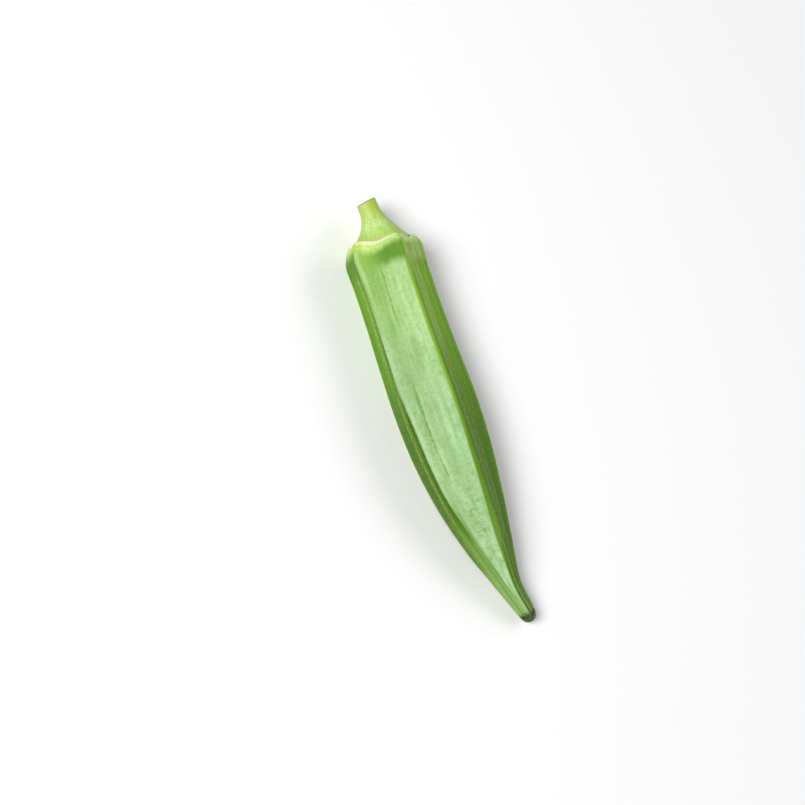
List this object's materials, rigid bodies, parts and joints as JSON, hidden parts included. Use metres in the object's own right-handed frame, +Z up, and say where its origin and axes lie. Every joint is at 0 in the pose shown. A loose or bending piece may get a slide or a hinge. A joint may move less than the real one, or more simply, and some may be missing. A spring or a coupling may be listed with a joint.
{
  "type": "okra pod",
  "caption": "Fresh okra pod as picked: a slender, ridged green seed pod that tapers to a bent tip, with its cap and a short cut stalk, lying on its side.",
  "frame": {"origin": "On the surface that the pod rests on, under the middle of the pod's bounding box.", "axes": "+Z up. +X along the pod, from the cut stalk to the tip. +Y across it, towards the side that the tip bends to."},
  "size_m": [0.111, 0.0238, 0.0193],
  "materials": {
    "pod_skin": "fresh, faintly downy green plant skin, soft gloss"
  },
  "bodies": {
    "root": {"okra_pod": "pod_skin"}
  },
  "joints": []
}
